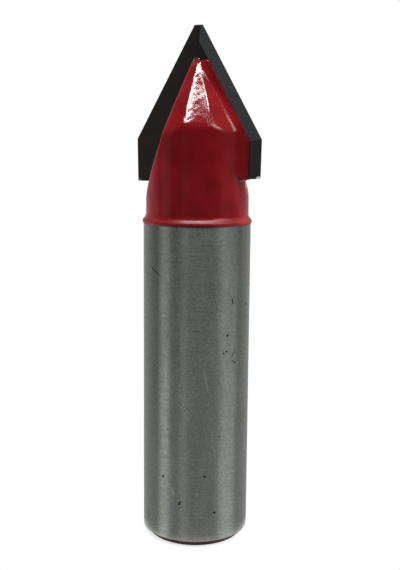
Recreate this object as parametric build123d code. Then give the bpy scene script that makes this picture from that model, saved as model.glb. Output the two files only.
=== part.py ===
from build123d import *
import os
from math import cos, radians, sin, tan

# V groove router bit: a turned and milled steel cutter body with two brazed carbide inserts.
# Frame: +Z runs along the axis from the shank's end (z = 0) to the point, and the rake faces
# lie in the plane y = 0, the centre insert towards -X and the side insert towards +X.
# Seen from the point the bit cuts counterclockwise.

# Turned bar
overall_length = 60.7        # the shank takes what the head and the neck leave of it
shank_diameter = 12.7        # half-inch collet size
end_chamfer = 0.8
neck_diameter = 12.0         # the shoulder between shank and neck is a 45 degree cone
neck_length = 3.99           # from the shoulder's top to the bottom of the centre insert

# Cutting edges
cutting_diameter = 16.0
groove_angle = 60.0          # included angle of the V
point_width = 1.05           # small flat that ends the V
edge_length = 17.96          # height of the centre insert
side_lift = 0.57             # how much higher the side insert's seat and gullet are
back_taper = 1.0             # degrees by which the side edges lean in towards the shank
insert_thickness = 1.6
flank_clearance = 26.0       # degrees ground behind the V and side edges
point_clearance = 15.0       # degrees ground behind the point's flat

# Middle of the point, where the centre insert reaches over the core
point_exposure = 3.8         # height of the inserts that stands clear of the steel
centre_overlap = 0.32        # how far past the axis the centre insert reaches
side_gap = 0.33              # how far from the axis the side insert starts
centre_gash = 42.0           # degrees by which the centre insert's inner side turns from square
side_gash = 16.0             # the same for the side insert

# Steel lands behind the inserts
cone_setback = 1.03          # steel cone below the cutting cone, square to it
flat_depth = 0.43            # how deep the relief flats go into the steel cone
near_flat_turn = 27.0        # degrees from an insert back to the first flat's middle
far_flat_turn = 100.0        # degrees from an insert back to the second flat's middle

# Gullets in front of the inserts
gullet_runout = 0.84         # how far below its insert a gullet's corner leaves the neck
gullet_lean = 20.5           # degrees between the gullet's corner and the axis
gullet_opening = 107.0       # degrees between the gullet's wall and the rake face

# Worked out from the sizes above
shank_radius = shank_diameter / 2
neck_radius = neck_diameter / 2
cutting_radius = cutting_diameter / 2
half_angle = groove_angle / 2
half_point = point_width / 2
steel_top = overall_length - point_exposure
centre_bottom = overall_length - edge_length
side_bottom = centre_bottom + side_lift
neck_start = centre_bottom - neck_length
shank_length = neck_start - abs(shank_radius - neck_radius)
edge_corner = overall_length - (cutting_radius - half_point) / tan(radians(half_angle))
cone_apex = overall_length + half_point / tan(radians(half_angle)) - cone_setback / sin(radians(half_angle))
flat_apex = cone_apex - flat_depth / sin(radians(half_angle))
beyond = cutting_diameter    # how far cutting tools pass clear of the steel


def turned_blank():
    """The bar as it leaves the lathe: chamfered shank, shoulder, neck and cone."""
    top_radius = (cone_apex - steel_top) * tan(radians(half_angle))
    cone_foot = cone_apex - neck_radius / tan(radians(half_angle))
    outline = Polyline(
        (0, 0),
        (shank_radius - end_chamfer, 0),
        (shank_radius, end_chamfer),
        (shank_radius, shank_length),
        (neck_radius, neck_start),
        (neck_radius, cone_foot),
        (top_radius, steel_top),
        (0, steel_top),
        close=True,
    )
    return revolve(Plane.XZ * make_face(outline), Axis.Z)


def wall_plane(insert_bottom):
    """The wall of the gullet that an insert is seated in, through the gullet's corner line, its
    normal pointing into the gullet."""
    corner_line = Vector(sin(radians(gullet_lean)), 0, cos(radians(gullet_lean)))
    outwards = Vector(-cos(radians(gullet_lean)), 0, sin(radians(gullet_lean)))
    forwards = Vector(0, -1, 0)
    up_the_wall = outwards * cos(radians(gullet_opening)) + forwards * sin(radians(gullet_opening))
    corner_exit = (-neck_radius, 0, insert_bottom - gullet_runout)
    return Plane(origin=corner_exit, z_dir=up_the_wall.cross(corner_line))


def slab(front, back, bottom, top):
    """Block on both sides of the axis between two values of Y and two of Z."""
    block = Box(2 * beyond, back - front, top - bottom, align=(Align.CENTER, Align.MIN, Align.MIN))
    return Pos(0, front, bottom) * block


def gullet(insert_bottom):
    """What the mill takes for an insert on the -X side: the gullet in front of it, down to y = 0,
    and the seat that goes on behind it, down to the insert's back and bottom."""
    front = slab(-beyond, 0, shank_length, overall_length)
    seat = slab(-beyond, insert_thickness, insert_bottom, overall_length)
    return split(front + seat, bisect_by=wall_plane(insert_bottom), keep=Keep.TOP)


def relief_flat(turn):
    """Plane of a flat ground on the steel cone, its middle turned by some degrees from +X."""
    slope = radians(half_angle)
    outwards = (cos(slope) * cos(radians(turn)), cos(slope) * sin(radians(turn)), sin(slope))
    return Plane(origin=(0, 0, flat_apex), z_dir=outwards)


def cutter_body():
    """Steel body: the turned blank with its relief flats, gullets and insert seats."""
    body = turned_blank()
    for half_turn in (0, 180):
        for turn in (near_flat_turn, far_flat_turn):
            body = split(body, bisect_by=relief_flat(half_turn - turn), keep=Keep.BOTTOM)
    for half_turn, insert_bottom in ((0, centre_bottom), (180, side_bottom)):
        body -= Rot(0, 0, half_turn) * gullet(insert_bottom)
    return body


def ground_face(start, end, clearance):
    """Plane ground behind the cutting edge that runs from start to end, with the insert on its right."""
    edge = Vector(end[0] - start[0], 0, end[1] - start[1]).normalized()
    square = Vector(-edge.Z, 0, edge.X)
    backwards = Vector(0, 1, 0)
    normal = square * cos(radians(clearance)) + backwards * sin(radians(clearance))
    return Plane(origin=(start[0], 0, start[1]), z_dir=normal)


def carbide_insert(inner_x, gash, bottom):
    """Insert on the -X side with its rake face on y = 0: seated against the gullet's wall,
    reaching over the core to inner_x above the steel, and ground behind its three edges."""
    seated = split(
        slab(0, insert_thickness, bottom, steel_top), bisect_by=wall_plane(bottom), keep=Keep.TOP
    )
    inner_side = Plane(origin=(inner_x, 0, steel_top), z_dir=(cos(radians(gash)), sin(radians(gash)), 0))
    insert = seated + split(
        slab(0, insert_thickness, steel_top, overall_length), bisect_by=inner_side, keep=Keep.BOTTOM
    )
    taper = (edge_corner - bottom) * tan(radians(back_taper))
    heel = (taper - cutting_radius, bottom)
    corner = (-cutting_radius, edge_corner)
    point = (-half_point, overall_length)
    middle = (half_point, overall_length)
    for start, end, clearance in (
        (heel, corner, flank_clearance),
        (corner, point, flank_clearance),
        (point, middle, point_clearance),
    ):
        insert = split(insert, bisect_by=ground_face(start, end, clearance), keep=Keep.BOTTOM)
    return insert


nodes = {
    "cutter_body": cutter_body(),
    "centre_insert": carbide_insert(centre_overlap, centre_gash, centre_bottom),
    "side_insert": Rot(0, 0, 180) * carbide_insert(-side_gap, side_gash, side_bottom),
}

os.makedirs("parts", exist_ok=True)
for name, solid in nodes.items():
    export_step(solid, f"parts/{name}.step")
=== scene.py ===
"""Looks of a V groove router bit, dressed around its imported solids.

The solids are the frame: the turned and milled cutter body and two brazed carbide inserts. This
script gives them their finishes and adds the one thing they lack, the coat of enamel that was
brushed over the head and the backs of the inserts. Lengths in the classes are millimetres on the
real bit, and meshes and lamps are placed in metres.
"""

import logging
import math
from dataclasses import dataclass, replace
from enum import Enum

import bpy
import numpy as np
from mathutils import Matrix, Vector


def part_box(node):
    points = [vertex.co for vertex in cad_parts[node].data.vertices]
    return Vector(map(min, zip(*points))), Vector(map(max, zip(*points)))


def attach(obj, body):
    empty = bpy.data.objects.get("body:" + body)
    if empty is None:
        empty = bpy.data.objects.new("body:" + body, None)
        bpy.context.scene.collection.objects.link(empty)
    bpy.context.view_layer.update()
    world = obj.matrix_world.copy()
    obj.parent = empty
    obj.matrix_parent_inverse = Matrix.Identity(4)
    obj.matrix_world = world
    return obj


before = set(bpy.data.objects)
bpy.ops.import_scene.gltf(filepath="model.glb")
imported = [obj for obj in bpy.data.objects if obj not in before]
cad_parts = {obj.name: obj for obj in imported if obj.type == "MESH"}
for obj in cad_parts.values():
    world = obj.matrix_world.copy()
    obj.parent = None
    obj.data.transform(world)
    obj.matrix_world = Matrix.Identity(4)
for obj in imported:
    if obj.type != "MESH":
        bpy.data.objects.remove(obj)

LOG = logging.getLogger("router_bit")
MM = 0.001
SAME_HEIGHT = 1e-6           # mm: a row this close to a level counts as lying on it
Array = np.ndarray


def linear(code: str) -> tuple[float, float, float, float]:
    """Turns an sRGB colour into linear light.

    Args:
        code: Hex colour such as "#8A1018".

    Returns:
        Red, green and blue from 0 to 1, and an opacity of 1.
    """
    channels = [int(code[i:i + 2], 16) / 255 for i in (1, 3, 5)]
    red, green, blue = (c / 12.92 if c <= 0.04045 else ((c + 0.055) / 1.055) ** 2.4 for c in channels)
    return (red, green, blue, 1.0)


def add(tree: bpy.types.NodeTree, kind: str, inputs: dict | None = None,
        **settings: object) -> bpy.types.Node:
    """Adds one node to a tree.

    Args:
        tree: Node tree that receives it.
        kind: Blender's identifier of the node type.
        inputs: Value or output socket for each named or numbered input.
        **settings: Properties of the node itself.

    Returns:
        The new node.
    """
    node = tree.nodes.new(kind)
    for name, value in settings.items():
        setattr(node, name, value)
    for key, value in (inputs or {}).items():
        if isinstance(value, bpy.types.NodeSocket):
            tree.links.new(value, node.inputs[key])
        else:
            node.inputs[key].default_value = value
    return node


def heading(azimuth: float, elevation: float = 0.0) -> Vector:
    """Unit vector at an azimuth counted from +X towards +Y and an elevation, both in degrees."""
    a, e = math.radians(azimuth), math.radians(elevation)
    return Vector((math.cos(a) * math.cos(e), math.sin(a) * math.cos(e), math.sin(e)))


# Form of the head


def rounded_max(a: Array, b: Array, width: float) -> Array:
    """Larger of two fields, with the edge where they meet rounded.

    Formula: max(a, b) plus a quarter of width times the square of how deep |a - b| lies in the band.

    Args:
        a: First field in mm.
        b: Second field in mm.
        width: Width in mm of the band over which the edge is rounded.

    Returns:
        The joined field in mm.
    """
    depth = np.maximum(width - np.abs(a - b), 0) / width
    return np.maximum(a, b) + depth * depth * width / 4


def rounded_min(a: Array, b: Array, width: float) -> Array:
    """Smaller of two fields, with the inner corner where they meet filled over a band of that width."""
    return -rounded_max(-a, -b, width)


def smoothstep(low: float, high: float, value: Array) -> Array:
    """Rises from 0 at low to 1 at high, level at both ends."""
    share = np.clip((value - low) / (high - low), 0, 1)
    return share * share * (3 - 2 * share)


@dataclass(frozen=True)
class HeadForm:
    """The painted head as a field: negative inside steel or carbide, positive outside, in mm.

    One half is described, from its own gullet's wall at azimuth -180 degrees round to the back of
    the other gullet's insert, just short of azimuth 0. The other half is the same turned by half a
    turn, with the heights of the two seats exchanged.
    """

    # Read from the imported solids
    overall: float
    steel_top: float
    gullet_bottom: float
    insert_bottom: float
    cutting_radius: float
    shank_radius: float
    # Sizes that the solids were cut to
    neck_radius: float = 6.0
    shoulder_foot: float = 38.4
    half_angle: float = 30.0
    half_point: float = 0.525
    insert_thickness: float = 1.6
    flank_clearance: float = 26.0
    back_taper: float = 1.0
    cone_setback: float = 1.03
    flat_depth: float = 0.43
    near_flat_turn: float = -27.0
    gullet_runout: float = 0.84
    gullet_lean: float = 20.5
    gullet_opening: float = 107.0
    # How the enamel fills the relief flats, the near one more towards the point
    near_flat_fill: float = 0.125
    near_flat_lump: float = 0.20
    lump_rise: tuple[float, float] = (54.4, 55.2)
    far_flat_turn: float = -104.5
    far_flat_fill: float = 0.13
    # How it rounds the outer edges, the near flat's more towards its foot
    flat_rounding: float = 0.08
    foot_rounding: float = 0.28
    foot_fade: tuple[float, float] = (49.3, 51.8)
    gullet_rounding: float = 0.24
    arch_rounding: float = 0.24
    # How it fills the inner corners, from the insert's bottom up to the point
    bottom_fillet: float = 0.40
    bottom_fade: float = 0.4
    foot_fillet: float = 0.95
    fillet: float = 0.42
    fillet_fade: tuple[float, float] = (49.2, 53.5)
    gullet_fillet: float = 0.1
    shoulder_fillet: float = 0.28
    # Direction in which the insert's heel is cut off under the enamel, along x and y
    heel_normal: tuple[float, float] = (0.82, 0.57)

    @property
    def slope(self) -> float:
        """Tangent of the V's half angle."""
        return math.tan(math.radians(self.half_angle))

    @property
    def cone_apex(self) -> float:
        """Height at which the steel cone would come to a point."""
        rise = (self.half_point / self.slope) - self.cone_setback / math.sin(math.radians(self.half_angle))
        return self.overall + rise

    @property
    def flat_apex(self) -> float:
        """Height at which the planes of the relief flats cross the axis."""
        return self.cone_apex - self.flat_depth / math.sin(math.radians(self.half_angle))

    @property
    def edge_corner(self) -> float:
        """Height of the corner between the V edge and the side edge."""
        return self.overall - (self.cutting_radius - self.half_point) / self.slope

    def turned(self) -> "HeadForm":
        """Form of the other half."""
        return replace(self, gullet_bottom=self.insert_bottom, insert_bottom=self.gullet_bottom)

    def wall(self, x: Array, y: Array, z: Array, seat_bottom: float) -> Array:
        """Distance in front of a gullet's wall, a plane through the gullet's corner line.

        Args:
            x: Places along x in mm, the gullet lying towards -X.
            y: Places along y in mm.
            z: Heights in mm.
            seat_bottom: Height of the bottom of the insert that is seated in the gullet.

        Returns:
            The distances in mm, positive inside the gullet.
        """
        lean, opening = math.radians(self.gullet_lean), math.radians(self.gullet_opening)
        corner_line = np.array([math.sin(lean), 0, math.cos(lean)])
        outwards = np.array([-math.cos(lean), 0, math.sin(lean)])
        up_the_wall = outwards * math.cos(opening) + np.array([0, -1, 0]) * math.sin(opening)
        normal = np.cross(up_the_wall, corner_line)
        start = (-self.neck_radius, 0, seat_bottom - self.gullet_runout)
        return (x - start[0]) * normal[0] + (y - start[1]) * normal[1] + (z - start[2]) * normal[2]

    def flat(self, x: Array, y: Array, z: Array, turn: float) -> Array:
        """Distance outside a relief flat, a plane that leans like the cone and faces one azimuth.

        Args:
            x: Places along x in mm.
            y: Places along y in mm.
            z: Heights in mm.
            turn: Azimuth in degrees that the flat faces.

        Returns:
            The distances in mm from the plane, which the enamel has moved outwards a little.
        """
        tilt, a = math.radians(self.half_angle), math.radians(turn)
        out = x * math.cos(a) + y * math.sin(a)
        if turn == self.near_flat_turn:
            fill = self.near_flat_fill + self.near_flat_lump * smoothstep(*self.lump_rise, z)
        else:
            fill = self.far_flat_fill
        return out * math.cos(tilt) + (z - self.flat_apex) * math.sin(tilt) - fill

    def heel_x(self, z: Array) -> Array:
        """X of the line where the ground flank meets the insert's back, at y = -insert_thickness.

        Formula: the V edge and the side edge, each moved in by what the flank's clearance takes off
        over the insert's thickness, and of the two the one nearer to the axis.

        Args:
            z: Heights in mm.

        Returns:
            The places along x in mm.
        """
        fall = self.insert_thickness * math.tan(math.radians(self.flank_clearance))
        along_v = self.half_point + (self.overall - z) * self.slope
        along_v = along_v - fall / math.cos(math.radians(self.half_angle))
        taper = np.maximum(self.edge_corner - z, 0) * math.tan(math.radians(self.back_taper))
        return np.minimum(along_v, self.cutting_radius - taper - fall)

    def seat_x(self, z: Array) -> Array:
        """X of the insert's inner side at its back, on the wall of the seat.

        Args:
            z: Heights in mm.

        Returns:
            The places along x in mm.
        """
        origin = self.wall(0.0, 0.0, 0.0, self.insert_bottom)
        per_x = self.wall(1.0, 0.0, 0.0, self.insert_bottom) - origin
        return self.wall(0.0, self.insert_thickness, z, self.insert_bottom) / per_x

    def crease_x(self, z: Array) -> Array:
        """X at which the steel land meets the insert's back, at y = -insert_thickness.

        Formula: the least of the neck's, the cone's and the near flat's x there, but not less than
        the seat's.

        Args:
            z: Heights in mm.

        Returns:
            The places along x in mm.
        """
        back = self.insert_thickness
        round_bar = np.sqrt(self.neck_radius**2 - back**2)
        cone = np.sqrt(np.maximum(((self.cone_apex - z) * self.slope) ** 2 - back**2, 0))
        turn = math.radians(self.near_flat_turn)
        flat = ((self.flat_apex - z) * self.slope + back * math.sin(turn)) / math.cos(turn)
        return np.maximum(np.minimum(np.minimum(round_bar, cone), flat), self.seat_x(z))

    def steel(self, x: Array, y: Array, z: Array) -> Array:
        """Field of the cutter body.

        Formula: the rounded larger of the cone, the relief flats, the neck and both gullets, and
        then the rounded smaller of that and the shoulder.

        Args:
            x: Places along x in mm.
            y: Places along y in mm.
            z: Heights in mm.

        Returns:
            The field in mm.
        """
        radius = np.hypot(x, y)
        tilt = math.radians(self.half_angle)
        point = radius * math.cos(tilt) + (z - self.cone_apex) * math.sin(tilt)
        for half_turn in (1, -1):
            for turn in (self.near_flat_turn, self.far_flat_turn):
                flat = self.flat(half_turn * x, half_turn * y, z, turn)
                wider = self.foot_rounding if turn == self.near_flat_turn else 0.0
                rounding = self.flat_rounding + wider * (1 - smoothstep(*self.foot_fade, z))
                point = rounded_max(point, flat, rounding)
        body = rounded_max(point, radius - self.neck_radius, self.arch_rounding)
        above_rake_foot = np.where(z > self.gullet_bottom - SAME_HEIGHT, self.cutting_radius, 0.0)
        for half_turn, seat, floor in (
            (1, self.gullet_bottom, above_rake_foot - y),
            (-1, self.insert_bottom, y),
        ):
            wall = self.wall(half_turn * x, half_turn * y, z, seat)
            gullet = rounded_min(wall, floor, self.gullet_fillet)
            body = rounded_max(body, gullet, self.gullet_rounding)
        slant = (radius + z - self.shank_radius - self.shoulder_foot) / math.sqrt(2)
        shoulder = rounded_max(radius - self.shank_radius, slant, self.flat_rounding)
        return rounded_min(body, shoulder, self.shoulder_fillet)

    def insert(self, x: Array, y: Array, z: Array) -> Array:
        """Field of the part of the side insert that the enamel covers: its back, up to the flank's heel.

        Args:
            x: Places along x in mm.
            y: Places along y in mm.
            z: Heights in mm.

        Returns:
            The field in mm, the largest of the distances outside its five sides.
        """
        back = -self.insert_thickness - y
        bottom = self.insert_bottom - z
        seat = -self.wall(-x, -y, z, self.insert_bottom)
        heel = x - self.heel_x(np.asarray(self.insert_bottom))
        skew = heel * self.heel_normal[0] + (y + self.insert_thickness) * self.heel_normal[1]
        return np.maximum.reduce([back, bottom, seat, skew, y])

    def solid(self, x: Array, y: Array, z: Array) -> Array:
        """Field of steel and inserts together, with enamel drawn into the corner between them.

        Args:
            x: Places along x in mm.
            y: Places along y in mm.
            z: Heights in mm.

        Returns:
            The field in mm.
        """
        above = smoothstep(-self.bottom_fade, self.bottom_fade, z - self.insert_bottom)
        beside = self.foot_fillet + (self.fillet - self.foot_fillet) * smoothstep(*self.fillet_fade, z)
        width = self.bottom_fillet + (beside - self.bottom_fillet) * above
        return rounded_min(self.steel(x, y, z), self.insert(x, y, z), width)


@dataclass(frozen=True)
class Ripple:
    """Gentle unevenness of a thick coat: the mean of many plane waves with seeded directions."""

    length: float
    height: float
    waves: int = 24
    seed: int = 7

    def at(self, x: Array, y: Array, z: Array) -> Array:
        """Height of the unevenness at each point.

        Formula: each wave is the sine of the point's place along a random direction, over a
        wavelength drawn from 0.7 to 1.5 times the ripple's length, plus a random phase.

        Args:
            x: Places along x in mm.
            y: Places along y in mm.
            z: Heights in mm.

        Returns:
            The unevenness in mm.
        """
        draw = np.random.default_rng(self.seed)
        total = np.zeros_like(x)
        for _ in range(self.waves):
            direction = draw.normal(size=3)
            direction /= np.linalg.norm(direction)
            per_mm = 2 * math.pi / (self.length * draw.uniform(0.7, 1.5))
            place = x * direction[0] + y * direction[1] + z * direction[2]
            total = total + np.sin(place * per_mm + draw.uniform(0, 2 * math.pi))
        return self.height * total / math.sqrt(self.waves / 2)


class Half(Enum):
    """The two halves of the head: the one that the photograph shows, and the same turned by half a turn."""

    NEAR = 1
    FAR = -1


@dataclass(frozen=True)
class EnamelCoat:
    """The coat of enamel over the head, as one closed film that stands a little proud of the metal.

    The outside is a function of two parameters, azimuth and height: along each ray from the axis
    the film lies where the head's field reaches the film's thickness. The inside is the same grid
    just below the metal's surface, and a rim closes both along the film's borders.
    """

    form: HeadForm
    name: str = "enamel_coat"
    # Film, thicker on the insert's back, and how far inside the metal its hidden side lies
    thickness: float = 0.06
    back_extra: float = 0.03
    back_fade: tuple[float, float] = (-20.0, -8.0)
    sunk: float = 0.10
    least_film: float = 0.02
    # Borders, where the film dips under the metal
    tuck: float = 0.03
    rim: float = 0.14
    heel_rounding: float = 0.13
    # Wavering lower edge and the bead above it
    lower_edge: float = 37.94
    waver: float = 0.03
    bead: float = 0.045
    bead_rise: float = 0.28
    bead_spread: float = 0.22
    # Upper edge, lower where the enamel was rubbed off
    bare_top: float = 0.22
    bare_height: float = 0.50
    bare_azimuth: float = -82.0
    bare_spread: float = 17.0
    # Belly of the coat on the cone, where it has sagged
    belly: float = 0.040
    belly_middle: float = 52.9
    belly_reach: float = 3.7
    # Unevenness, strongest on the land between the relief flats and on the bead
    lumps: Ripple = Ripple(length=0.80, height=0.0036)
    sag: Ripple = Ripple(length=3.4, height=0.010, seed=3)
    calm: float = 0.12
    cone_foot: tuple[float, float] = (49.2, 50.2)
    land_start: tuple[float, float] = (-92.0, -84.0)
    land_end: tuple[float, float] = (-57.0, -53.0)
    smooth_flat: tuple[float, float] = (-50.0, -42.0)
    lumpy_rise: float = 0.3
    lumpy_spread: float = 0.35
    full_film: float = 0.05
    # Grid, with columns crowded at the gullet's wall and at the crease
    columns_land: int = 118
    columns_back: int = 30
    columns_under: int = 16
    wall_columns: float = 0.07
    wall_share: float = 0.012
    crowding: float = 0.055
    evenness: float = 0.65
    # Search along the rays
    clear: float = 1.0
    ray_end: float = 0.15
    ray_steps: int = 90
    halvings: int = 26

    def heights(self) -> Array:
        """Heights of the grid's rows, closer together where the form turns quickly.

        Each station is a height and the number of rows that lead up to it.

        Returns:
            The heights in mm, from the lower edge to just below the steel's top.
        """
        form = self.form
        low, high = sorted((form.insert_bottom, form.gullet_bottom))
        stations = [
            (self.lower_edge, 0),
            (self.lower_edge + 0.12, 5),
            (form.shoulder_foot + 0.35, 9),
            (form.shoulder_foot + 1.1, 6),
            (low - 0.55, 14),
            (low - self.thickness, 9),
            (low, 2),
            (high - self.thickness, 9),
            (high, 2),
            (form.edge_corner + 0.4, 24),
            (form.edge_corner + 1.9, 16),
            (form.steel_top - 0.25, 40),
            (form.steel_top - 0.02, 4),
        ]
        rows = [np.array([stations[0][0]])]
        for (start, _), (end, count) in zip(stations, stations[1:]):
            rows.append(np.linspace(start, end, count + 1)[1:])
        return np.concatenate(rows)

    def azimuths(self, form: HeadForm, z: Array) -> Array:
        """Azimuth of every grid point of one half.

        Formula: the first columns run from the gullet's wall to the crease beside the insert, the
        next from the crease to the flank's heel, and the last on to azimuth 0 below the insert.

        Args:
            form: The half's form.
            z: Heights of the rows in mm.

        Returns:
            The azimuths in radians, one row for each height.
        """
        back, level = form.insert_thickness, np.maximum(z, form.insert_bottom)
        crease = np.arctan2(-back, form.crease_x(level))[:, None]
        heel = np.arctan2(-back, form.heel_x(level))[:, None]
        u = np.linspace(0, 1, self.columns_land)
        near_wall = self.wall_share * np.minimum(u / self.wall_columns, 1)
        beyond = np.clip((u - self.wall_columns) / (1 - self.wall_columns), 0, 1)
        share = near_wall + (1 - self.wall_share) * beyond
        share = share + self.crowding * np.sin(math.pi * share) ** 2 * share
        land = -math.pi + (crease + math.pi) * share[None, :]
        v = np.linspace(0, 1, self.columns_back + 1)[1:]
        strip = crease + (heel - crease) * (self.evenness * v + (1 - self.evenness) * v * v)[None, :]
        w = np.linspace(0, 1, self.columns_under + 1)[1:]
        under = np.where(z[:, None] < form.insert_bottom - SAME_HEIGHT, heel * (1 - w[None, :]), heel)
        return np.concatenate([land, strip, under], axis=1)

    def radii(self, form: HeadForm, azimuth: Array, z: Array, level: Array) -> Array:
        """Distance from the axis at which the head's field equals level, outermost first.

        Formula: the ray is stepped from outside until the field drops below level, and that step is
        then halved again and again.

        Args:
            form: The half's form.
            azimuth: Azimuths of the grid's points in radians.
            z: Their heights in mm.
            level: Value in mm that the field has to reach.

        Returns:
            The distances in mm.
        """
        c, s = np.cos(azimuth), np.sin(azimuth)
        steps = np.linspace(form.cutting_radius + self.clear, self.ray_end, self.ray_steps)
        inner = np.full_like(azimuth, steps[-1])
        outer = np.full_like(azimuth, steps[0])
        found = np.zeros(azimuth.shape, bool)
        for before, after in zip(steps, steps[1:]):
            inside = form.solid(after * c, after * s, z) < level
            fresh = inside & ~found
            inner[fresh], outer[fresh] = after, before
            found |= inside
        for _ in range(self.halvings):
            middle = (inner + outer) / 2
            inside = form.solid(middle * c, middle * s, z) < level
            inner = np.where(inside, middle, inner)
            outer = np.where(inside, outer, middle)
        return (inner + outer) / 2

    def film(self, form: HeadForm, azimuth: Array, z: Array) -> Array:
        """Thickness of the coat.

        Formula: an even film plus a bell-shaped bead, times a smooth rise from each border, and
        less the depth to which the borders are tucked under the metal.

        Args:
            form: The half's form.
            azimuth: Azimuths of the grid's points in radians.
            z: Their heights in mm.

        Returns:
            The thickness in mm, negative where the film lies under the metal.
        """
        foot = self.lower_edge + self.waver * np.sin(3 * azimuth + 0.8) * np.sin(7 * azimuth)
        bead = self.bead * np.exp(-(((z - self.lower_edge - self.bead_rise) / self.bead_spread) ** 2))
        rise = smoothstep(-0.01, self.rim, z - foot)
        turn = (np.degrees(azimuth) - self.bare_azimuth) / self.bare_spread
        bare = self.bare_height * np.exp(-(turn**2))
        top = smoothstep(0.0, self.rim, form.steel_top - self.bare_top - bare - z)
        heel = np.arctan2(-form.insert_thickness, form.heel_x(np.maximum(z, form.insert_bottom)))
        reach = form.heel_x(z) * (heel - azimuth)
        at_insert = z > form.insert_bottom - self.tuck
        side = np.where(at_insert, smoothstep(-0.001, self.heel_rounding, reach), 1.0)
        left = np.where(z > form.gullet_bottom, smoothstep(0.0, 0.02, azimuth + math.pi), 1.0)
        on_back = smoothstep(*self.back_fade, np.degrees(azimuth - heel)) * self.back_extra
        full = self.thickness + bead + on_back
        return (full + self.tuck) * rise * top * side * left - self.tuck

    def unevenness(self, x: Array, y: Array, z: Array, azimuth: Array) -> Array:
        """What lumps, sagging and the belly add to the coat.

        Formula: lumps times their strength there, plus the sag except on the near flat, plus a
        parabola over the cone's height.

        Args:
            x: Places along x in mm.
            y: Places along y in mm.
            z: Heights in mm.
            azimuth: Azimuths within the half, in degrees.

        Returns:
            The addition in mm, along the ray from the axis.
        """
        on_cone = smoothstep(*self.cone_foot, z)
        on_land = smoothstep(*self.land_start, azimuth) * (1 - smoothstep(*self.land_end, azimuth))
        on_bead = np.exp(-(((z - self.lower_edge - self.lumpy_rise) / self.lumpy_spread) ** 2))
        rough = self.calm + (1 - self.calm) * np.maximum(on_cone * on_land, on_bead)
        sagging = 1 - smoothstep(*self.smooth_flat, azimuth) * on_cone
        belly = self.belly * np.clip(1 - ((z - self.belly_middle) / self.belly_reach) ** 2, 0, None)
        return self.lumps.at(x, y, z) * rough + self.sag.at(x, y, z) * sagging + belly

    def half(self, form: HeadForm, side: Half) -> tuple[Array, Array]:
        """Outside and inside points of one half.

        Args:
            form: The half's form.
            side: Which half it is.

        Returns:
            Two grids of points in mm.
        """
        heights = self.heights()
        azimuth = self.azimuths(form, heights)
        z = np.broadcast_to(heights[:, None], azimuth.shape)
        film = self.film(form, azimuth, z)
        radius = self.radii(form, azimuth, z, film)
        hidden = self.radii(form, azimuth, z, np.full_like(azimuth, -self.sunk))
        x, y = side.value * np.cos(azimuth), side.value * np.sin(azimuth)
        uneven = self.unevenness(radius * x, radius * y, z, np.degrees(azimuth))
        radius = radius + uneven * smoothstep(0.0, self.full_film, film)
        hidden = np.minimum(hidden, radius - self.least_film)
        outside = np.stack([radius * x, radius * y, z], axis=-1)
        inside = np.stack([hidden * x, hidden * y, z], axis=-1)
        return outside, inside

    def mesh(self) -> tuple[Array, Array]:
        """Joins both halves into one closed film.

        Returns:
            The points in mm and the triangles.
        """
        outside, inside, triangles, count = [], [], [], 0
        for form, side in ((self.form, Half.NEAR), (self.form.turned(), Half.FAR)):
            outer, inner = self.half(form, side)
            rows, columns = outer.shape[:2]
            index = np.arange(rows * columns).reshape(rows, columns) + count
            a, b, c, d = index[:-1, :-1], index[:-1, 1:], index[1:, 1:], index[1:, :-1]
            triangles += [np.stack([a, b, c], -1).reshape(-1, 3), np.stack([a, c, d], -1).reshape(-1, 3)]
            outside.append(outer.reshape(-1, 3))
            inside.append(inner.reshape(-1, 3))
            count += rows * columns
        shown, hidden = np.concatenate(outside), np.concatenate(inside)
        outer, inner, faces = welded(shown, hidden, np.concatenate(triangles))
        return closed_film(outer, inner, faces)

    def build(self, finish: bpy.types.Material) -> bpy.types.Object:
        """Makes the coat's object and hangs it on the bit.

        Args:
            finish: Material of the coat.

        Returns:
            The object.
        """
        points, faces = self.mesh()
        coat = mesh_object(self.name, points * MM, faces)
        coat.data.materials.append(finish)
        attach(coat, "root")
        return coat


def welded(outer: Array, inner: Array, faces: Array) -> tuple[Array, Array, Array]:
    """Merges points whose outer places agree to a tenth of a micrometre and drops flat faces.

    Args:
        outer: Points that decide which ones agree.
        inner: Points that follow them one for one.
        faces: Triangles as point numbers.

    Returns:
        The outer and inner points that stay, and the triangles that have three different corners.
    """
    _, first, group = np.unique(np.round(outer, 4), axis=0, return_index=True, return_inverse=True)
    faces = group.reshape(-1)[faces]
    a, b, c = faces.T
    faces = faces[(a != b) & (b != c) & (c != a)]
    return outer[first], inner[first], faces


def closed_film(outer: Array, inner: Array, faces: Array) -> tuple[Array, Array]:
    """Closes an open surface and its inner copy into one film.

    Formula: the inner faces are the outer ones turned round, and each directed edge that no
    neighbour runs the other way gets two rim triangles.

    Args:
        outer: Points of the outside.
        inner: Points of the inside, in the same order.
        faces: Triangles of the outside.

    Returns:
        All points and all triangles.
    """
    count = len(outer)
    edges = np.concatenate([faces[:, [0, 1]], faces[:, [1, 2]], faces[:, [2, 0]]])
    forward = edges[:, 0] * count + edges[:, 1]
    backward = edges[:, 1] * count + edges[:, 0]
    start, end = edges[~np.isin(forward, backward)].T
    rim = np.concatenate([
        np.stack([end, start, start + count], -1),
        np.stack([end, start + count, end + count], -1),
    ])
    return np.concatenate([outer, inner]), np.concatenate([faces, faces[:, ::-1] + count, rim])


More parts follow.
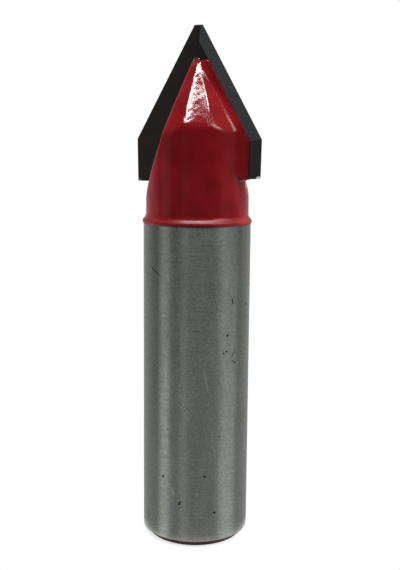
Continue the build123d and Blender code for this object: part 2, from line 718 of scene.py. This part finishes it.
def mesh_object(name: str, points: Array, faces: Array, smooth: bool = True) -> bpy.types.Object:
    """Puts points and triangles into a new object of the scene.

    Args:
        name: Name of the object and its mesh.
        points: Places in metres, one row each.
        faces: Triangles or quads as point numbers.
        smooth: Whether faces are shaded smoothly.

    Returns:
        The object, at the origin.
    """
    mesh = bpy.data.meshes.new(name)
    corners = faces.shape[1]
    mesh.vertices.add(len(points))
    mesh.vertices.foreach_set("co", points.astype(np.float32).ravel())
    mesh.loops.add(faces.size)
    mesh.loops.foreach_set("vertex_index", faces.astype(np.int32).ravel())
    mesh.polygons.add(len(faces))
    mesh.polygons.foreach_set("loop_start", np.arange(0, faces.size, corners, dtype=np.int32))
    mesh.update(calc_edges=True)
    mesh.validate()
    mesh.polygons.foreach_set("use_smooth", np.full(len(mesh.polygons), smooth))
    made = bpy.data.objects.new(name, mesh)
    bpy.context.scene.collection.objects.link(made)
    return made


# Finishes


@dataclass(frozen=True)
class Mark:
    """A scratch, pit or chip on the surface: an ellipsoid in which the finish changes.

    Its middle is given by azimuth, height and radius from the axis, and its length runs up the bit.
    Lean turns it about the surface's normal, and tilt lays it back like the cone. Angles are in
    degrees and lengths in mm.
    """

    azimuth: float
    height: float
    length: float
    width: float
    lean: float = 0.0
    radius: float = 6.35
    tilt: float = 0.0
    depth: float = 0.8

    def reach(self, tree: bpy.types.NodeTree, place: bpy.types.NodeSocket) -> bpy.types.NodeSocket:
        """Adds the nodes that give the distance from the mark's centre, 1 at its border.

        Args:
            tree: Node tree of the finish.
            place: Object coordinates.

        Returns:
            The distance, as an output socket.
        """
        inwards = Matrix.Rotation(math.radians(self.azimuth), 3, "Z")
        leaning = Matrix.Rotation(math.radians(-self.tilt), 3, "Y") @ Matrix.Rotation(
            math.radians(self.lean), 3, "X")
        centre = heading(self.azimuth) * self.radius * MM + Vector((0, 0, self.height * MM))
        local = add(
            tree, "ShaderNodeMapping", {
                "Vector": place,
                "Location": centre,
                "Rotation": (inwards @ leaning).to_euler(),
                "Scale": (self.depth / 2 * MM, self.width / 2 * MM, self.length / 2 * MM),
            }, vector_type="TEXTURE")
        return add(tree, "ShaderNodeVectorMath", {0: local.outputs[0]}, operation="LENGTH").outputs["Value"]


def nearest(tree: bpy.types.NodeTree, place: bpy.types.NodeSocket, marks: tuple[Mark, ...],
            soft: float) -> bpy.types.NodeSocket:
    """Adds nodes that say how much of a mark lies at each point.

    Args:
        tree: Node tree of the finish.
        place: Object coordinates.
        marks: The marks.
        soft: Width of the mark's soft border, as a share of its half width.

    Returns:
        1 inside any mark and 0 well outside all, as an output socket.
    """
    distance = marks[0].reach(tree, place)
    for mark in marks[1:]:
        pair = {0: distance, 1: mark.reach(tree, place)}
        distance = add(tree, "ShaderNodeMath", pair, operation="MINIMUM").outputs[0]
    span = {"Value": distance, "From Min": 1.0, "From Max": 1.0 + soft, "To Min": 1.0, "To Max": 0.0}
    return add(tree, "ShaderNodeMapRange", span, interpolation_type="SMOOTHSTEP").outputs[0]


@dataclass(frozen=True)
class Finish:
    """A finish on a piece. Sub-classes fill in the shader."""

    name: str

    def material(self) -> bpy.types.Material:
        """Makes the material with an empty node tree and lets the finish fill it.

        Returns:
            The material.
        """
        made = bpy.data.materials.new(self.name)
        made.use_nodes = True
        tree = made.node_tree
        tree.nodes.clear()
        place = add(tree, "ShaderNodeTexCoord").outputs["Object"]
        shader = self.shade(tree, place)
        add(tree, "ShaderNodeOutputMaterial", {"Surface": shader})
        return made

    def shade(self, tree: bpy.types.NodeTree, place: bpy.types.NodeSocket) -> bpy.types.NodeSocket:
        """Adds the finish's nodes.

        Args:
            tree: Node tree of the finish.
            place: Object coordinates.

        Returns:
            The shader's output socket.
        """
        raise NotImplementedError


def grain(tree: bpy.types.NodeTree, place: bpy.types.NodeSocket, size: tuple[float, float, float],
          detail: float = 2.0, roughness: float = 0.5) -> bpy.types.NodeSocket:
    """Adds noise whose features have a given size along each axis.

    Args:
        tree: Node tree of the finish.
        place: Object coordinates.
        size: Feature size along x, y and z in mm.
        detail: Octaves of finer noise.
        roughness: Strength of the finer octaves.

    Returns:
        The noise from 0 to 1, as an output socket.
    """
    scale = tuple(1 / (s * MM) for s in size)
    stretched = add(tree, "ShaderNodeVectorMath", {0: place, 1: scale}, operation="MULTIPLY")
    settings = {"Vector": stretched.outputs[0], "Scale": 1.0, "Detail": detail, "Roughness": roughness}
    return add(tree, "ShaderNodeTexNoise", settings).outputs[0]


def blended(tree: bpy.types.NodeTree, share: bpy.types.NodeSocket | float, first: object,
            second: object) -> bpy.types.NodeSocket:
    """Adds a mix of two colours.

    Args:
        tree: Node tree of the finish.
        share: How much of the second colour there is, from 0 to 1.
        first: Colour at share 0, as a value or an output socket.
        second: Colour at share 1, in the same way.

    Returns:
        The colour, as an output socket.
    """
    node = add(tree, "ShaderNodeMix", data_type="RGBA")
    for key, value in ((0, share), (6, first), (7, second)):
        if isinstance(value, bpy.types.NodeSocket):
            tree.links.new(value, node.inputs[key])
        else:
            node.inputs[key].default_value = value
    return node.outputs[2]


def spread(tree: bpy.types.NodeTree, value: bpy.types.NodeSocket, source: tuple[float, float],
           target: tuple[float, float]) -> bpy.types.NodeSocket:
    """Adds a map from one range to another, level beyond both ends.

    Args:
        tree: Node tree of the finish.
        value: What is mapped.
        source: Range that it comes from.
        target: Range that it goes to.

    Returns:
        The mapped value, as an output socket.
    """
    span = {"Value": value, "From Min": source[0], "From Max": source[1],
            "To Min": target[0], "To Max": target[1]}
    return add(tree, "ShaderNodeMapRange", span).outputs[0]


@dataclass(frozen=True)
class BrushedEnamel(Finish):
    """Alkyd enamel, brushed or dipped on thick: a saturated red with a wet gloss.

    It shows a sharp reflection that orange peel breaks up, and its tone wanders in broad patches
    between a deeper and a paler red. On the cone it is glossier, with more peel, and on the bead at
    its lower edge it is duller.
    """

    name: str = "red_alkyd_enamel_brushed"
    deep: str = "#7C0E14"
    thin: str = "#8E141B"
    cloud: tuple[float, float, float] = (2.2, 2.2, 2.8)
    # Roughness on the bead, on the neck and on the cone, and the heights between them
    bead_roughness: float = 0.42
    bead_top: float = 39.0
    roughness: float = 0.16
    cone_foot: float = 49.0
    cone_roughness: float = 0.115
    # Size and height of the orange peel and of the grit on it, and their strength on the neck
    peel: float = 0.36
    peel_height: float = 0.006
    grit: float = 0.18
    grit_height: float = 0.0016
    calm: float = 0.3
    # Cracks across the cone, and a dip in the neck below the side insert
    nick_depth: float = 0.016
    dip_depth: float = 0.20
    nicks: tuple[Mark, ...] = (
        Mark(azimuth=-74.5, height=54.05, length=0.75, width=0.10, lean=62.0, radius=3.17, tilt=30.0),
        Mark(azimuth=-78.0, height=53.75, length=0.50, width=0.09, lean=48.0, radius=3.34, tilt=30.0),
        Mark(azimuth=-66.0, height=52.60, length=0.42, width=0.09, lean=80.0, radius=4.01, tilt=30.0),
        Mark(azimuth=-74.0, height=50.90, length=0.50, width=0.10, lean=-55.0, radius=4.99, tilt=30.0),
        Mark(azimuth=-54.4, height=51.70, length=5.20, width=0.10, lean=1.5, radius=4.55, tilt=30.0),
    )
    dips: tuple[Mark, ...] = (
        Mark(azimuth=11.0, height=42.35, length=0.60, width=0.80, lean=-4.0, radius=6.0),
    )

    def shade(self, tree: bpy.types.NodeTree, place: bpy.types.NodeSocket) -> bpy.types.NodeSocket:
        """Mixes two shades by a broad noise and bumps the surface with orange peel and fine grit.

        Args:
            tree: Node tree of the finish.
            place: Object coordinates.

        Returns:
            The shader's output socket.
        """
        cloud = grain(tree, place, self.cloud, detail=3)
        patches = spread(tree, cloud, (0.35, 0.65), (0, 1))
        colour = blended(tree, patches, linear(self.deep), linear(self.thin))
        coarse = grain(tree, place, (self.peel,) * 3, detail=1)
        fine = grain(tree, place, (self.grit,) * 3, detail=1)
        height = add(tree, "ShaderNodeSeparateXYZ", {0: place}).outputs["Z"]
        foot = ((self.cone_foot - 1) * MM, (self.cone_foot + 1) * MM)
        on_cone = spread(tree, height, foot, (self.calm, 1))
        level = add(tree, "ShaderNodeMath", {0: fine, 1: self.grit_height / self.peel_height, 2: coarse},
                    operation="MULTIPLY_ADD").outputs[0]
        level = add(tree, "ShaderNodeMath", {0: level, 1: on_cone}, operation="MULTIPLY").outputs[0]
        for marks, depth, soft in ((self.nicks, self.nick_depth, 1.0), (self.dips, self.dip_depth, 2.0)):
            marked = nearest(tree, place, marks, soft)
            sink = {0: marked, 1: -depth / self.peel_height, 2: level}
            level = add(tree, "ShaderNodeMath", sink, operation="MULTIPLY_ADD").outputs[0]
        bump = add(tree, "ShaderNodeBump", {
            "Strength": 1.0, "Distance": self.peel_height * MM, "Height": level})
        rough = spread(tree, height, ((self.bead_top - 0.5) * MM, self.bead_top * MM),
                       (self.bead_roughness, self.roughness))
        glossier = {0: spread(tree, height, foot, (0, 1)), 1: self.cone_roughness - self.roughness, 2: rough}
        rough = add(tree, "ShaderNodeMath", glossier, operation="MULTIPLY_ADD").outputs[0]
        return add(tree, "ShaderNodeBsdfPrincipled", {
            "Base Color": colour, "Roughness": rough, "Normal": bump.outputs[0]}).outputs[0]


@dataclass(frozen=True)
class GroundCarbide(Finish):
    """Tungsten carbide in cobalt, diamond ground: a dark satin with fine straight grinding lines.

    The rake faces, which lie in the plane y = 0, are brownish, and the flanks are darker and cooler:
    their darker tone is painted shade against the lamps' light. Small chips at the lower corners are pale.
    """

    name: str = "tungsten_carbide_diamond_ground"
    rake: str = "#332E2A"
    # The flanks' darker tone is painted shade that holds back the lamps' light on them
    flank: str = "#1E2122"
    cloud: str = "#272625"
    chipped: str = "#D6D0CE"
    cut: str = "#7E7E7A"
    # How far behind y = 0 the rake's tone ends
    rake_depth: float = 0.03
    roughness: float = 0.42
    line_spacing: float = 0.12
    chips: tuple[Mark, ...] = (
        Mark(azimuth=-2.0, height=43.42, length=0.28, width=0.62, radius=7.82),
    )
    cut_corners: tuple[Mark, ...] = (
        Mark(azimuth=180.0, height=42.82, length=0.36, width=0.5, radius=7.68, depth=0.30),
    )

    def shade(self, tree: bpy.types.NodeTree, place: bpy.types.NodeSocket) -> bpy.types.NodeSocket:
        """Dark metal with directional roughness, tinted by a slow noise, and pale chips.

        Args:
            tree: Node tree of the finish.
            place: Object coordinates.

        Returns:
            The shader's output socket.
        """
        lines = grain(tree, place, (3.0, 0.5, self.line_spacing), detail=2)
        cloud = grain(tree, place, (1.6, 1.6, 1.6), detail=3)
        across = add(tree, "ShaderNodeSeparateXYZ", {0: place}).outputs["Y"]
        depth = add(tree, "ShaderNodeMath", {0: across}, operation="ABSOLUTE").outputs[0]
        beside = spread(tree, depth, (self.rake_depth * MM, 2 * self.rake_depth * MM), (0, 1))
        # Beyond the rake's plane the flanks' tone adds painted shade
        tint = blended(tree, beside, linear(self.rake), linear(self.flank))
        tint = blended(tree, spread(tree, cloud, (0.35, 0.65), (0, 0.5)), tint, linear(self.cloud))
        colour = blended(tree, nearest(tree, place, self.cut_corners, soft=0.5), tint, linear(self.cut))
        colour = blended(tree, nearest(tree, place, self.chips, soft=0.6), colour, linear(self.chipped))
        rough = spread(tree, lines, (0.3, 0.7), (self.roughness - 0.05, self.roughness + 0.08))
        bump = add(tree, "ShaderNodeBump", {"Strength": 0.5, "Distance": 0.002 * MM, "Height": lines})
        return add(tree, "ShaderNodeBsdfPrincipled", {
            "Base Color": colour, "Metallic": 0.3, "Roughness": rough, "Normal": bump.outputs[0],
            "Specular IOR Level": 0.3}).outputs[0]


@dataclass(frozen=True)
class GroundSteel(Finish):
    """Tool steel, centreless ground: bright metal whose fine lines run round the bar.

    The lines smear every reflection along the bar, so lamps show as long soft streaks. Above the
    coat's lower edge the steel is under enamel. At its top, between the inserts, it is brown-black
    with painted shade and has a worn spot, and the end's chamfer is dark maroon.
    """

    name: str = "tool_steel_centreless_ground"
    bright: str = "#C3CBC4"
    dull: str = "#B2B9AF"
    ground_line: str = "#8D8D88"
    speck: str = "#7F7E78"
    rubbed: str = "#D4D2CC"
    pitted: str = "#3E403D"
    # Dark maroon colour given to the end's chamfer and end face
    maroon_chamfer: str = "#3E171A"
    # Brown-black painted shade for the steel's top, which lies in shadow between the inserts
    shaded_top_colour: str = "#3A332D"
    worn: str = "#9A9286"
    roughness: float = 0.30
    line_spacing: float = 0.16
    mottle: float = 0.20
    # Heights at which the dark maroon ends, the enamel starts and the painted shade on the steel's top starts
    chamfer: float = 0.8
    coat_edge: float = 37.95
    paint_top: float = 56.66
    enamel: BrushedEnamel = BrushedEnamel()
    bare: tuple[Mark, ...] = (
        Mark(azimuth=-80.0, height=56.62, length=0.80, width=0.72, radius=1.50),
    )
    scratches: tuple[Mark, ...] = (
        Mark(azimuth=-115.0, height=32.78, length=1.30, width=0.11, lean=61.0),
        Mark(azimuth=-132.0, height=32.54, length=1.00, width=0.09, lean=28.0),
        Mark(azimuth=-22.4, height=23.3, length=0.75, width=0.08, lean=-32.0),
        Mark(azimuth=-21.2, height=22.2, length=0.65, width=0.08, lean=55.0),
        Mark(azimuth=-24.6, height=29.4, length=0.55, width=0.11, lean=10.0),
        Mark(azimuth=-127.0, height=2.9, length=0.90, width=0.09, lean=-8.0),
        Mark(azimuth=-139.5, height=5.0, length=0.40, width=0.10, lean=-10.0),
    )
    pits: tuple[Mark, ...] = (
        Mark(azimuth=-30.8, height=25.47, length=0.22, width=0.22),
        Mark(azimuth=-31.9, height=23.59, length=0.18, width=0.20),
        Mark(azimuth=-35.4, height=23.38, length=0.16, width=0.18),
        Mark(azimuth=-39.6, height=13.53, length=0.13, width=0.14),
        Mark(azimuth=-101.8, height=8.40, length=0.16, width=0.30, lean=40.0),
        Mark(azimuth=-55.4, height=8.81, length=0.18, width=0.24),
        Mark(azimuth=-81.9, height=5.46, length=0.42, width=0.16, lean=-20.0),
        Mark(azimuth=-44.2, height=4.27, length=0.18, width=0.24),
        Mark(azimuth=0.0, height=28.76, length=0.20, width=0.20),
    )
    rubs: tuple[Mark, ...] = (
        Mark(azimuth=-54.8, height=20.3, length=1.80, width=0.10, lean=12.0),
        Mark(azimuth=-89.4, height=6.73, length=0.60, width=0.22, lean=15.0),
        Mark(azimuth=-63.3, height=6.64, length=0.20, width=0.20),
    )

    def shade(self, tree: bpy.types.NodeTree, place: bpy.types.NodeSocket) -> bpy.types.NodeSocket:
        """Anisotropic metal with lines round the bar, marked by scratches, pits and pale rubs.

        Args:
            tree: Node tree of the finish.
            place: Object coordinates.

        Returns:
            The shader's output socket.
        """
        lines = grain(tree, place, (5.0, 5.0, self.line_spacing), detail=3, roughness=0.6)
        cloud = grain(tree, place, (1.5, 1.5, 7.0), detail=4)
        metal = blended(tree, spread(tree, cloud, (0.3, 0.7), (0, 1)), linear(self.bright), linear(self.dull))
        metal = blended(tree, spread(tree, lines, (0.35, 0.75), (0, 0.20)), metal, linear(self.ground_line))
        mottle = grain(tree, place, (self.mottle,) * 3, detail=2, roughness=0.6)
        metal = blended(tree, spread(tree, mottle, (0.36, 0.66), (0, 0.55)), metal, linear(self.speck))
        dark = nearest(tree, place, self.scratches + self.pits, soft=0.9)
        pale = nearest(tree, place, self.rubs, soft=1.2)
        metal = blended(tree, pale, metal, linear(self.rubbed))
        metal = blended(tree, dark, metal, linear(self.pitted))
        height = add(tree, "ShaderNodeSeparateXYZ", {0: place}).outputs["Z"]
        rough = spread(tree, lines, (0.3, 0.7), (self.roughness - 0.04, self.roughness + 0.07))
        bump = add(tree, "ShaderNodeBump", {"Strength": 0.35, "Distance": 0.003 * MM, "Height": lines})
        around = add(tree, "ShaderNodeTangent", direction_type="RADIAL", axis="Z")
        steel = add(tree, "ShaderNodeBsdfPrincipled", {
            "Base Color": metal, "Metallic": 1.0, "Roughness": rough, "Normal": bump.outputs[0],
            "Anisotropic": 0.7, "Anisotropic Rotation": 0.25, "Tangent": around.outputs[0]}).outputs[0]
        # The end's chamfer and end face get a dark maroon, rough finish
        maroon_chamfer = add(tree, "ShaderNodeBsdfPrincipled", {
            "Base Color": linear(self.maroon_chamfer), "Roughness": 0.7, "Specular IOR Level": 0.15}).outputs[0]
        # Painted shade: the steel above the enamel's top is brown-black, as it lies in shadow between the
        # inserts
        shaded_top = add(tree, "ShaderNodeBsdfPrincipled", {
            "Base Color": linear(self.shaded_top_colour), "Roughness": 0.7}).outputs[0]
        worn = add(tree, "ShaderNodeBsdfPrincipled", {
            "Base Color": linear(self.worn), "Roughness": 0.8, "Specular IOR Level": 0.2}).outputs[0]
        bare = nearest(tree, place, self.bare, soft=0.3)
        shader = maroon_chamfer
        for start, upper in (
            (self.chamfer, steel),
            (self.coat_edge, self.enamel.shade(tree, place)),
            (self.paint_top, shaded_top),
        ):
            above = add(tree, "ShaderNodeMath", {0: height, 1: start * MM}, operation="GREATER_THAN")
            shader = add(tree, "ShaderNodeMixShader", {0: above.outputs[0], 1: shader, 2: upper}).outputs[0]
        return add(tree, "ShaderNodeMixShader", {0: bare, 1: shader, 2: worn}).outputs[0]


class Piece(Enum):
    """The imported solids."""

    CUTTER_BODY = "cutter_body"
    CENTRE_INSERT = "centre_insert"
    SIDE_INSERT = "side_insert"

    def dress(self, finish: bpy.types.Material) -> None:
        """Gives the solid one finish in all its material slots.

        Args:
            finish: Material of the solid.
        """
        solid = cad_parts[self.value]
        if not solid.material_slots:
            solid.data.materials.append(finish)
        for place in solid.material_slots:
            place.material = finish


@dataclass
class RouterBit:
    """The whole bit: the three solids with their finishes and the coat of enamel."""

    enamel: BrushedEnamel = BrushedEnamel()
    carbide: GroundCarbide = GroundCarbide()
    steel: GroundSteel = GroundSteel()

    def form(self) -> HeadForm:
        """Works out the head's form, with its outer sizes read from the solids' boxes.

        Returns:
            The form.
        """
        body_low, body_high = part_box(Piece.CUTTER_BODY.value)
        side_low, side_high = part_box(Piece.SIDE_INSERT.value)
        centre_low, centre_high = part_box(Piece.CENTRE_INSERT.value)
        return HeadForm(
            overall=centre_high.z / MM,
            steel_top=body_high.z / MM,
            gullet_bottom=centre_low.z / MM,
            insert_bottom=side_low.z / MM,
            cutting_radius=side_high.x / MM,
            shank_radius=max(body_high.x, body_high.y, -body_low.x) / MM,
        )

    def build(self) -> None:
        """Dresses the solids and builds the coat."""
        Piece.CUTTER_BODY.dress(self.steel.material())
        carbide = self.carbide.material()
        for piece in (Piece.CENTRE_INSERT, Piece.SIDE_INSERT):
            piece.dress(carbide)
        for piece in Piece:
            LOG.info("%s: dressed", piece.value)
        coat = EnamelCoat(self.form()).build(self.enamel.material())
        LOG.info("%s: %d faces", coat.name, len(coat.data.polygons))


# Studio


@dataclass(frozen=True)
class PhotoCamera:
    """The photograph's viewpoint, fitted to the bit's outline.

    The camera stands at a distance from the bit's axis and a height above its foot, both in mm. Its
    picture plane is turned about the bit's axis, then pitched down and rolled, in degrees. The focal
    length is in the photograph's pixels.
    """

    distance: float = 105.98
    height: float = 47.18
    turn: float = 24.78
    pitch: float = 8.948
    yaw: float = 0.213
    roll: float = 0.475
    focal_pixels: float = 894.9
    picture_height: float = 570.0
    sensor: float = 36.0

    @property
    def azimuth(self) -> float:
        """Azimuth of the camera seen from the bit's axis, in degrees from +X."""
        return self.turn - 90

    def build(self) -> bpy.types.Object:
        """Makes the camera and gives it to the scene.

        Returns:
            The camera's object.
        """
        data = bpy.data.cameras.new("photo_camera")
        data.sensor_width = self.sensor
        data.lens = self.focal_pixels * self.sensor / self.picture_height
        data.clip_start, data.clip_end = 1 * MM, 10.0
        camera = bpy.data.objects.new("photo_camera", data)
        bpy.context.scene.collection.objects.link(camera)
        upright = Matrix.Rotation(math.radians(90), 4, "X")
        turned = Matrix.Rotation(math.radians(self.turn - self.yaw), 4, "Z")
        pitched = Matrix.Rotation(math.radians(-self.pitch), 4, "X")
        rolled = Matrix.Rotation(math.radians(self.roll), 4, "Z")
        centre = heading(self.azimuth) * self.distance * MM + Vector((0, 0, self.height * MM))
        camera.matrix_world = Matrix.Translation(centre) @ turned @ upright @ pitched @ rolled
        bpy.context.scene.camera = camera
        return camera


@dataclass(frozen=True)
class Softbox:
    """A rectangular lamp that faces the bit.

    Its azimuth is counted from the camera's, in degrees, and its sizes are in metres. A lamp that
    isn't mirrored shows in no reflection: it stands for light that walls and table throw back.
    """

    name: str
    azimuth: float
    elevation: float
    distance: float
    width: float
    height: float
    radiance: float
    aim: float = 0.045
    mirrored: bool = True

    def build(self, camera_azimuth: float) -> bpy.types.Object:
        """Makes the lamp, its power worked out from its radiance and area.

        Formula: a flat lamp's power is its radiance times its area times pi.

        Args:
            camera_azimuth: Azimuth of the camera in degrees.

        Returns:
            The lamp's object.
        """
        data = bpy.data.lights.new(self.name, "AREA")
        data.shape = "RECTANGLE"
        data.size, data.size_y = self.width, self.height
        data.energy = self.radiance * self.width * self.height * math.pi
        lamp = bpy.data.objects.new(self.name, data)
        bpy.context.scene.collection.objects.link(lamp)
        away = heading(camera_azimuth + self.azimuth, self.elevation)
        target = Vector((0, 0, self.aim))
        turn = (-away).to_track_quat("-Z", "Y").to_matrix().to_4x4()
        lamp.matrix_world = Matrix.Translation(target + away * self.distance) @ turn
        lamp.visible_camera = False
        lamp.visible_glossy = self.mirrored
        return lamp


@dataclass(frozen=True)
class Glow:
    """A soft upright stripe of light in the room, its azimuth counted from the camera's, in degrees."""

    azimuth: float
    half_width: float
    level: float

    def shine(self, tree: bpy.types.NodeTree, direction: bpy.types.NodeSocket,
              camera_azimuth: float) -> bpy.types.NodeSocket:
        """Adds the nodes that give the stripe's light towards each direction.

        Formula: the cosine of the angle from the stripe's middle rises smoothly from the cosine of
        the half width to that of a quarter of it, and the stripe's level follows.

        Args:
            tree: Node tree of the world.
            direction: Directions, brought level.
            camera_azimuth: Azimuth of the camera in degrees.

        Returns:
            The light, as an output socket.
        """
        middle = tuple(heading(camera_azimuth + self.azimuth))
        cosine = add(tree, "ShaderNodeVectorMath", {0: direction, 1: middle}, operation="DOT_PRODUCT")
        span = {
            "Value": cosine.outputs["Value"],
            "From Min": math.cos(math.radians(self.half_width)),
            "From Max": math.cos(math.radians(self.half_width / 4)),
            "To Min": 0.0,
            "To Max": self.level,
        }
        return add(tree, "ShaderNodeMapRange", span, interpolation_type="SMOOTHSTEP").outputs[0]


@dataclass(frozen=True)
class Studio:
    """White paper under the bit, a white backdrop behind it, a dim room in front and soft lamps."""

    camera: PhotoCamera = PhotoCamera()
    # Even light that matt surfaces get from the room
    ambient: float = 0.05
    # What reflections show of the backdrop, which is dimmer near its foot
    backdrop: tuple[Glow, ...] = (
        Glow(azimuth=180, half_width=95, level=0.28),
        Glow(azimuth=180, half_width=22, level=0.44),
    )
    backdrop_foot: float = 0.45
    backdrop_rise: tuple[float, float] = (-0.42, -0.12)
    # What reflections show of the room, which is dimmer above the table
    reflected_room: float = 0.27
    reflected: tuple[Glow, ...] = (
        Glow(azimuth=-74, half_width=17, level=0.62),
        Glow(azimuth=76, half_width=29, level=0.48),
        Glow(azimuth=-27, half_width=10, level=0.20),
    )
    dim_above: float = 0.20
    dim_rise: tuple[float, float] = (-0.42, -0.02)
    # Paper, which is lit from behind just enough to be white where no shadow falls
    paper_radius: float = 0.0077
    paper_rings: int = 12
    paper_spokes: int = 96
    paper_colour: str = "#D8D8D8"
    paper_shaded: str = "#A8A8A8"
    paper_glow: float = 0.75
    lamps: tuple[Softbox, ...] = (
        Softbox("overhead_panel", azimuth=5, elevation=68.7, distance=0.46, width=0.44, height=0.065,
                radiance=31.0),
        Softbox("right_softbox", azimuth=58, elevation=37, distance=0.50, width=0.16, height=0.20,
                radiance=4.6),
        Softbox("left_bounce", azimuth=-126, elevation=-18, distance=0.50, width=0.50, height=0.50,
                radiance=6.8, mirrored=False),
        Softbox("right_bounce", azimuth=120, elevation=22, distance=0.50, width=0.55, height=0.55,
                radiance=3.3, mirrored=False),
        Softbox("table_bounce", azimuth=120, elevation=-22, distance=0.50, width=0.44, height=0.44,
                radiance=2.6, mirrored=False),
    )

    def room(self, tree: bpy.types.NodeTree, direction: bpy.types.NodeSocket, level: float,
             glows: tuple[Glow, ...]) -> bpy.types.NodeSocket:
        """Adds up a room's even level and its glows, towards each direction.

        Args:
            tree: Node tree of the world.
            direction: Directions, brought level.
            level: Even light of the room.
            glows: Its stripes of light, at least one.

        Returns:
            The light, as an output socket.
        """
        total = level
        for glow in glows:
            shine = glow.shine(tree, direction, self.camera.azimuth)
            total = add(tree, "ShaderNodeMath", {0: total, 1: shine}, operation="ADD").outputs[0]
        return total

    def world(self) -> None:
        """White for the camera, the backdrop and the dim room for reflections, and an even dim rest."""
        world = bpy.data.worlds.new("studio_room")
        bpy.context.scene.world = world
        world.use_nodes = True
        world.cycles.sampling_method = "NONE"
        tree = world.node_tree
        tree.nodes.clear()
        path = add(tree, "ShaderNodeLightPath")
        toward = add(tree, "ShaderNodeTexCoord").outputs["Generated"]
        flat = add(tree, "ShaderNodeVectorMath", {0: toward, 1: (1, 1, 0)}, operation="MULTIPLY")
        level = add(tree, "ShaderNodeVectorMath", {0: flat.outputs[0]}, operation="NORMALIZE").outputs[0]
        sharp = add(tree, "ShaderNodeMath", {
            0: path.outputs["Is Glossy Ray"], 1: path.outputs["Is Transmission Ray"]}, operation="MAXIMUM")
        reflected = self.room(tree, level, self.reflected_room, self.reflected)
        fall = add(tree, "ShaderNodeSeparateXYZ", {0: toward}).outputs["Z"]
        dimmed = spread(tree, fall, self.dim_rise, (1, self.dim_above))
        backdrop = self.room(tree, level, 0.0, self.backdrop)
        standing = spread(tree, fall, self.backdrop_rise, (self.backdrop_foot, 1))
        backdrop = add(tree, "ShaderNodeMath", {0: backdrop, 1: standing}, operation="MULTIPLY").outputs[0]
        reflected = add(tree, "ShaderNodeMath", {0: reflected, 1: dimmed, 2: backdrop},
                        operation="MULTIPLY_ADD").outputs[0]
        strength = add(tree, "ShaderNodeMix", {0: sharp.outputs[0], 2: self.ambient, 3: reflected}).outputs[0]
        strength = add(tree, "ShaderNodeMix", {
            0: path.outputs["Is Camera Ray"], 2: strength, 3: 1.0}).outputs[0]
        shader = add(tree, "ShaderNodeBackground", {"Color": (1, 1, 1, 1), "Strength": strength})
        add(tree, "ShaderNodeOutputWorld", {"Surface": shader.outputs[0]})

    def paper(self) -> bpy.types.Object:
        """A round of pale paper that keeps the bit's shadow and is white where nothing shades it.

        Formula: a grid of rings and spokes, flat at height 0.

        Returns:
            The paper's object.
        """
        rings, spokes = self.paper_rings, self.paper_spokes
        radius = np.linspace(1 * MM, self.paper_radius, rings)[:, None]
        turn = np.linspace(0, 2 * math.pi, spokes, endpoint=False)[None, :]
        x, y = radius * np.cos(turn), radius * np.sin(turn)
        points = np.stack([x, y, np.zeros_like(x)], -1).reshape(-1, 3)
        index = np.arange(rings * spokes).reshape(rings, spokes)
        ahead = np.roll(index, -1, axis=1)
        faces = np.stack([index[:-1], index[1:], ahead[1:], ahead[:-1]], -1).reshape(-1, 4)
        paper = mesh_object("studio_paper", points, faces, smooth=False)
        made = bpy.data.materials.new("studio_paper_matt")
        made.use_nodes = True
        tree = made.node_tree
        tree.nodes.clear()
        path = add(tree, "ShaderNodeLightPath")
        seen = add(tree, "ShaderNodeMath", {
            0: path.outputs["Is Camera Ray"], 1: path.outputs["Is Glossy Ray"]}, operation="MAXIMUM")
        seen = add(tree, "ShaderNodeMath", {
            0: seen.outputs[0], 1: path.outputs["Is Transmission Ray"]}, operation="MAXIMUM")
        matt = add(tree, "ShaderNodeBsdfDiffuse", {"Color": linear(self.paper_colour)})
        thin = add(tree, "ShaderNodeBsdfDiffuse", {"Color": linear(self.paper_shaded)})
        glow = add(tree, "ShaderNodeEmission", {"Color": (1, 1, 1, 1), "Strength": self.paper_glow})
        lit = add(tree, "ShaderNodeAddShader", {0: thin.outputs[0], 1: glow.outputs[0]})
        mix = add(tree, "ShaderNodeMixShader", {0: seen.outputs[0], 1: matt.outputs[0], 2: lit.outputs[0]})
        add(tree, "ShaderNodeOutputMaterial", {"Surface": mix.outputs[0]})
        paper.data.materials.append(made)
        return paper

    def build(self) -> None:
        """Sets up world, paper, lamps and camera, with the plain view transform."""
        bpy.context.scene.view_settings.view_transform = "Standard"
        self.camera.build()
        self.world()
        self.paper()
        for lamp in self.lamps:
            lamp.build(self.camera.azimuth)
            LOG.info("%s: placed", lamp.name)


def main() -> None:
    """Builds the bit and its studio."""
    logging.basicConfig(level=logging.INFO, format="%(name)s %(message)s")
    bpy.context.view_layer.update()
    RouterBit().build()
    Studio().build()


if __name__ == "__main__":
    main()
